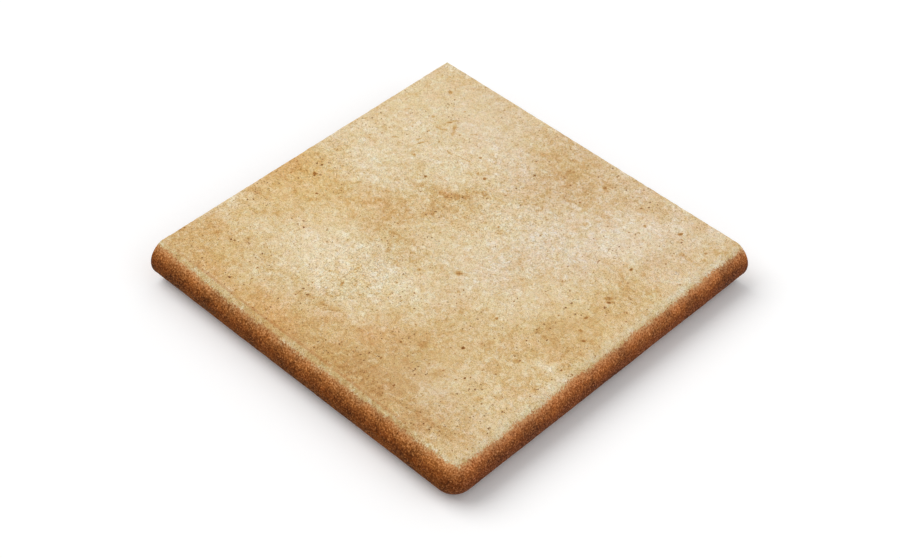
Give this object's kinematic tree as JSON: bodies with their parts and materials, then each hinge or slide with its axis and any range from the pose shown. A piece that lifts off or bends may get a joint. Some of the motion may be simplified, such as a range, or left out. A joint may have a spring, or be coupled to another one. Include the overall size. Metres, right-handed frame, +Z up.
{
  "type": "corner stair tread tile",
  "caption": "Square ceramic stair tread for an outside corner: flat glazed face with a rounded drop lip turned round two adjoining sides, plain butt sides and a keyed back.",
  "frame": {"origin": "centre of the tile's plan outline, at the underside of the lip that it stands on", "axes": "+Z up through the glazed face, -Y out of one lip and +X out of the other, so the outside corner of the step points to +X -Y"},
  "size_m": [0.33, 0.33, 0.038],
  "materials": {
    "fired_stoneware": "satin"
  },
  "bodies": {
    "root": {"corner_tread_tile": "fired_stoneware"}
  },
  "joints": []
}
